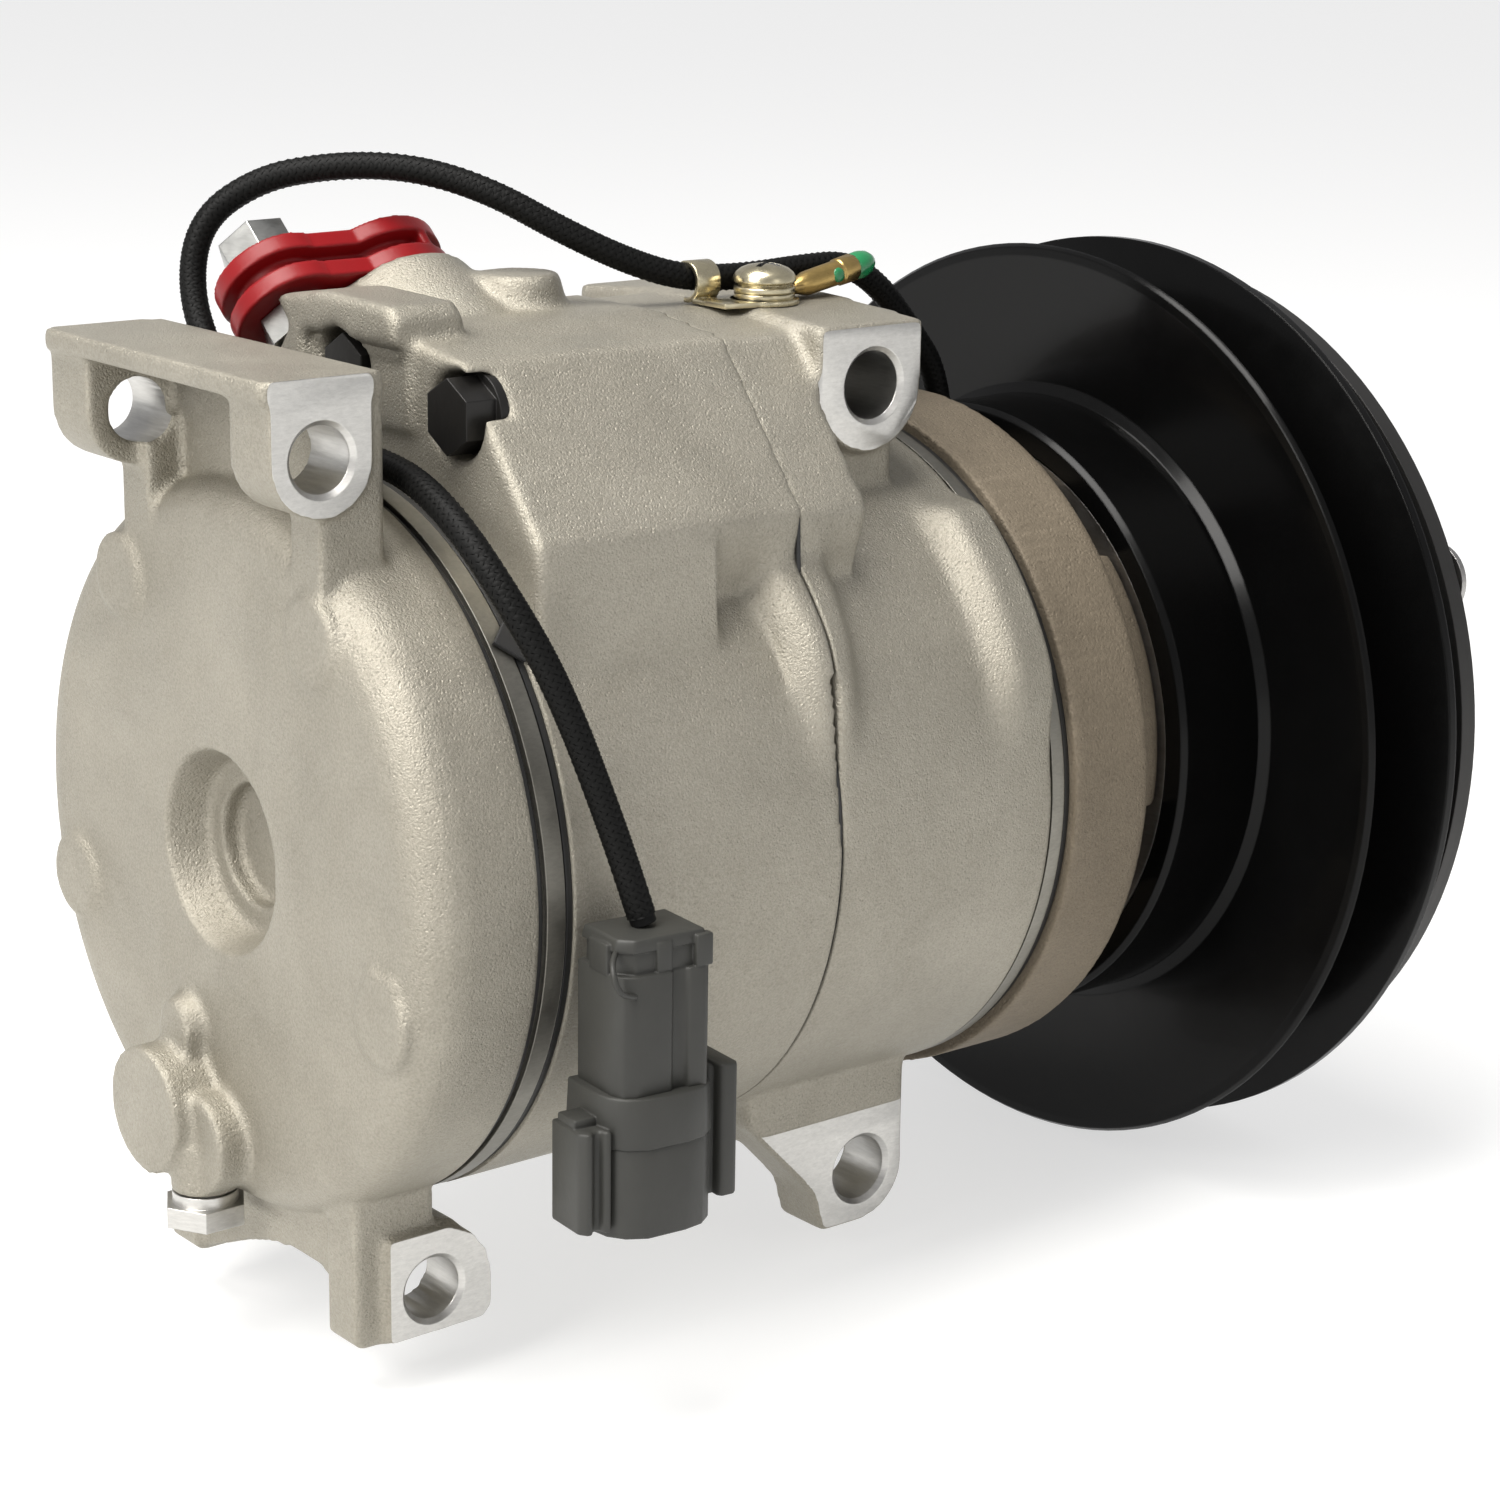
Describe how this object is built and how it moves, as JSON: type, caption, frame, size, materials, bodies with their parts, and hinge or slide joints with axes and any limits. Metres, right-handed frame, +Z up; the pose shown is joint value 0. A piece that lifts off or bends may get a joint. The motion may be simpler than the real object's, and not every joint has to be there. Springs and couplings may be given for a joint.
{
  "type": "swash-plate compressor with electromagnetic clutch",
  "caption": "Refrigerant compressor with an electromagnetic clutch: V-groove pulley, ribbed cast body, through-bolt mounting ears, capped port and a braided coil lead with its connector.",
  "frame": {"origin": "on the shaft's axis in the middle plane of the pulley's V groove", "axes": "+X along the shaft from the rear housing towards the clutch, +Y to the side away from the hanging connector, +Z up, towards the saddle and ports"},
  "size_m": [0.2096, 0.152, 0.1709],
  "materials": {
    "cast_aluminium": "sand-cast, satin",
    "sandy_aluminium": "sand-cast, dull tan",
    "gasket_black": "matte",
    "spring_steel": "satin",
    "plate_steel": "ground",
    "black_bolt": "black oxide",
    "bright_aluminium": "turned",
    "red_plastic": "semi-gloss moulded",
    "white_zinc": "bright zinc plate",
    "swash_metal": "machined",
    "piston_aluminium": "machined",
    "coil_steel": "dull black",
    "copper_winding": "enamelled copper",
    "gloss_black": "gloss black enamel",
    "armature_grey": "satin dark grey",
    "gold_zinc": "yellow zinc plate",
    "terminal_brass": "bare brass",
    "green_bead": "glossy",
    "black_braid": "braided sleeve",
    "grey_plastic": "moulded"
  },
  "bodies": {
    "housing": {"rear_housing": "cast_aluminium", "rear_head_gasket": "gasket_black", "rear_discharge_reed": "spring_steel", "rear_valve_plate": "plate_steel", "rear_suction_reed": "spring_steel", "rear_block_gasket": "gasket_black", "rear_cylinder_block": "cast_aluminium", "block_seal": "gasket_black", "front_cylinder_block": "cast_aluminium", "front_suction_reed": "spring_steel", "front_valve_plate": "plate_steel", "front_discharge_reed": "spring_steel", "front_head_gasket": "gasket_black", "front_housing": "sandy_aluminium", "through_bolts": "black_bolt", "saddle_screws": "black_bolt", "dowel_pins": "plate_steel", "relief_valve": "bright_aluminium", "port_cap": "red_plastic", "port_cap_bolt": "white_zinc", "port_cap_nut": "white_zinc", "shaft_bearing_cups": "plate_steel", "shaft_bearing_rollers": "plate_steel", "thrust_races_fixed": "plate_steel", "thrust_needles": "plate_steel", "shaft_seal": "gasket_black", "seal_snap_ring": "spring_steel", "field_coil_shell": "coil_steel", "field_coil_winding": "copper_winding", "coil_snap_ring": "spring_steel", "coil_lead_grommet": "gasket_black", "bearing_inner_race": "plate_steel", "bearing_snap_ring": "spring_steel", "harness_clip": "gold_zinc", "ground_terminal": "terminal_brass", "terminal_bead": "green_bead", "clip_washer": "gold_zinc", "clip_screw": "gold_zinc", "harness": "black_braid", "connector_plug": "grey_plastic", "connector_sleeve": "grey_plastic"},
    "pulley_body": {"pulley": "gloss_black", "bearing_outer_race": "plate_steel", "bearing_balls": "plate_steel", "bearing_shields": "gasket_black"},
    "shaft_body": {"drive_shaft": "plate_steel", "swash_plate": "swash_metal", "thrust_races_turning": "plate_steel", "clutch_hub": "armature_grey", "hub_rivets": "white_zinc", "hub_shims": "plate_steel", "hub_bolt": "white_zinc"},
    "armature_body": {"armature_plate": "armature_grey", "armature_rivets": "white_zinc", "leaf_springs": "spring_steel"},
    "piston_body_1": {"piston_1": "piston_aluminium"},
    "piston_body_2": {"piston_2": "piston_aluminium"},
    "piston_body_3": {"piston_3": "piston_aluminium"},
    "piston_body_4": {"piston_4": "piston_aluminium"},
    "piston_body_5": {"piston_5": "piston_aluminium"}
  },
  "joints": [
    {"name": "pulley_spin", "type": "hinge", "parent": "housing", "child": "pulley_body", "pos_m": [0, 0, 0], "axis": [1, 0, 0], "continuous": true},
    {"name": "shaft_spin", "type": "hinge", "parent": "housing", "child": "shaft_body", "pos_m": [0, 0, 0], "axis": [1, 0, 0], "continuous": true},
    {"name": "armature_pull_in", "type": "slide", "parent": "shaft_body", "child": "armature_body", "axis": [-1, 0, 0], "range_m": [0, 0.0005]},
    {"name": "piston_1_stroke", "type": "slide", "parent": "housing", "child": "piston_body_1", "axis": [1, 0, 0], "range_m": [-0.00965, 0.00965]},
    {"name": "piston_2_stroke", "type": "slide", "parent": "housing", "child": "piston_body_2", "axis": [1, 0, 0], "range_m": [-0.00965, 0.00965]},
    {"name": "piston_3_stroke", "type": "slide", "parent": "housing", "child": "piston_body_3", "axis": [1, 0, 0], "range_m": [-0.00965, 0.00965]},
    {"name": "piston_4_stroke", "type": "slide", "parent": "housing", "child": "piston_body_4", "axis": [1, 0, 0], "range_m": [-0.00965, 0.00965]},
    {"name": "piston_5_stroke", "type": "slide", "parent": "housing", "child": "piston_body_5", "axis": [1, 0, 0], "range_m": [-0.00965, 0.00965]}
  ]
}
